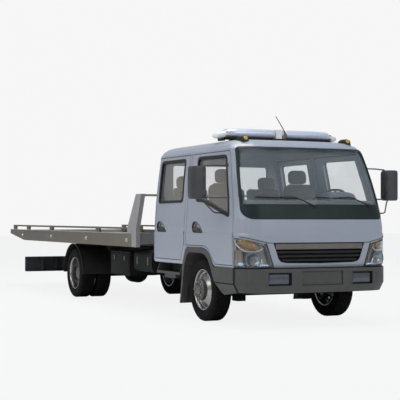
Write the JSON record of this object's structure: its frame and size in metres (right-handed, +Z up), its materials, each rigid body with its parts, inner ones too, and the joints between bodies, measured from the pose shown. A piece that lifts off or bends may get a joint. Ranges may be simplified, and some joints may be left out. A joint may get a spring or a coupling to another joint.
{
  "type": "tow truck with crew cab and tilting slide bed",
  "caption": "Recovery truck with a crew cab, twin rear wheels and a flat aluminium bed that tilts and slides to load a vehicle.",
  "frame": {"origin": "middle of the truck's box, on the ground", "axes": "+X forward, +Y to the truck's left, +Z up"},
  "size_m": [9.179, 2.8, 2.4583],
  "materials": {
    "cab_paint": "glossy",
    "grey_plastic": "satin",
    "black_plastic": "matte",
    "chassis_black": "satin",
    "tinted_glass": "polished",
    "lamp_chrome": "polished",
    "wheel_chrome": "polished",
    "tyre_rubber": "matte",
    "cast_metal": "rough",
    "rod_chrome": "polished",
    "bed_aluminium": "brushed",
    "red_lens": "glossy",
    "clear_plastic": "glossy",
    "seat_cloth": "woven"
  },
  "bodies": {
    "chassis": {"frame_rails": "chassis_black", "axle_beams": "chassis_black", "leaf_springs": "chassis_black", "engine": "cast_metal", "tanks_and_boxes": "chassis_black", "mudguards": "black_plastic", "underrun_beam": "chassis_black", "tail_lamps": "red_lens", "cab_floor": "chassis_black", "cab_front": "cab_paint", "cab_sides": "cab_paint", "cab_rear": "cab_paint", "cab_roof": "cab_paint", "cab_glass": "tinted_glass", "grille": "grey_plastic", "headlights": "lamp_chrome", "bumper": "grey_plastic", "wheel_arches": "grey_plastic", "cab_steps": "grey_plastic", "seats": "seat_cloth", "dashboard": "grey_plastic", "steering_wheel": "black_plastic", "wipers": "black_plastic", "light_bar": "clear_plastic", "roof_fittings": "black_plastic"},
    "front_left_door": {"door_front_left": "cab_paint", "glass_front_left": "tinted_glass", "mirror_left": "grey_plastic"},
    "front_right_door": {"door_front_right": "cab_paint", "glass_front_right": "tinted_glass", "mirror_right": "grey_plastic"},
    "rear_left_door": {"door_rear_left": "cab_paint", "glass_rear_left": "tinted_glass"},
    "rear_right_door": {"door_rear_right": "cab_paint", "glass_rear_right": "tinted_glass"},
    "left_knuckle": {"knuckle_left": "cast_metal"},
    "right_knuckle": {"knuckle_right": "cast_metal"},
    "tie_rod": {"tie_rod": "cast_metal"},
    "front_left_wheel": {"rim_front_left": "wheel_chrome", "tyre_front_left": "tyre_rubber"},
    "front_right_wheel": {"rim_front_right": "wheel_chrome", "tyre_front_right": "tyre_rubber"},
    "rear_left_wheels": {"rims_rear_left": "wheel_chrome", "tyres_rear_left": "tyre_rubber"},
    "rear_right_wheels": {"rims_rear_right": "wheel_chrome", "tyres_rear_right": "tyre_rubber"},
    "tilting_frame": {"tilt_frame": "chassis_black"},
    "tilt_cylinder_barrels": {"tilt_barrels": "chassis_black"},
    "tilt_cylinder_rods": {"tilt_rods": "rod_chrome"},
    "bed": {"bed_deck": "bed_aluminium", "bed_rails": "bed_aluminium", "headboard": "bed_aluminium"},
    "winch": {"winch_drum": "cast_metal"}
  },
  "joints": [
    {"name": "front_left_hinge", "type": "hinge", "parent": "chassis", "child": "front_left_door", "pos_m": [4.26, 0.99, 1.3], "axis": [0, 0, -1], "range_deg": [0, 70]},
    {"name": "front_right_hinge", "type": "hinge", "parent": "chassis", "child": "front_right_door", "pos_m": [4.26, -0.99, 1.3], "axis": [0, 0, 1], "range_deg": [0, 70]},
    {"name": "rear_left_hinge", "type": "hinge", "parent": "chassis", "child": "rear_left_door", "pos_m": [2.924, 0.99, 1.3], "axis": [0, 0, -1], "range_deg": [0, 70]},
    {"name": "rear_right_hinge", "type": "hinge", "parent": "chassis", "child": "rear_right_door", "pos_m": [2.924, -0.99, 1.3], "axis": [0, 0, 1], "range_deg": [0, 70]},
    {"name": "steer_left", "type": "hinge", "parent": "chassis", "child": "left_knuckle", "pos_m": [3.39, 0.8, 0.375], "axis": [0, 0, 1], "range_deg": [-34, 34]},
    {"name": "steer_right", "type": "hinge", "parent": "chassis", "child": "right_knuckle", "pos_m": [3.39, -0.8, 0.375], "axis": [0, 0, 1], "range_deg": [-34, 34]},
    {"name": "tie_rod_slide", "type": "slide", "parent": "chassis", "child": "tie_rod", "axis": [0, 1, 0], "range_m": [-0.085, 0.085]},
    {"name": "front_left_spin", "type": "hinge", "parent": "left_knuckle", "child": "front_left_wheel", "pos_m": [3.39, 0.841, 0.375], "axis": [0, 1, 0], "continuous": true},
    {"name": "front_right_spin", "type": "hinge", "parent": "right_knuckle", "child": "front_right_wheel", "pos_m": [3.39, -0.841, 0.375], "axis": [0, 1, 0], "continuous": true},
    {"name": "rear_left_spin", "type": "hinge", "parent": "chassis", "child": "rear_left_wheels", "pos_m": [-1.12, 0.8, 0.375], "axis": [0, 1, 0], "continuous": true},
    {"name": "rear_right_spin", "type": "hinge", "parent": "chassis", "child": "rear_right_wheels", "pos_m": [-1.12, -0.8, 0.375], "axis": [0, 1, 0], "continuous": true},
    {"name": "bed_tilt", "type": "hinge", "parent": "chassis", "child": "tilting_frame", "pos_m": [-2.76, 0, 0.755], "axis": [0, -1, 0], "range_deg": [0, 11]},
    {"name": "cylinder_swing", "type": "hinge", "parent": "chassis", "child": "tilt_cylinder_barrels", "pos_m": [-0.61, 0, 0.5], "axis": [0, -1, 0], "range_deg": [0, 26.63]},
    {"name": "rod_extend", "type": "slide", "parent": "tilt_cylinder_barrels", "child": "tilt_cylinder_rods", "axis": [0.9919, 0, 0.127], "range_m": [0, 0.19266]},
    {"name": "bed_slide", "type": "slide", "parent": "tilting_frame", "child": "bed", "axis": [-1, 0, 0], "range_m": [0, 3]},
    {"name": "winch_turn", "type": "hinge", "parent": "bed", "child": "winch", "pos_m": [1.32, 0, 1.06], "axis": [0, 1, 0], "continuous": true}
  ],
  "couplings": [
    {"joint": "steer_right", "follows": "steer_left", "ratio": 1},
    {"joint": "tie_rod_slide", "follows": "steer_left", "m_per_rad": -0.10366},
    {"joint": "cylinder_swing", "follows": "bed_tilt", "ratio": 2.4197},
    {"joint": "rod_extend", "follows": "bed_tilt", "m_per_rad": 1.003}
  ]
}
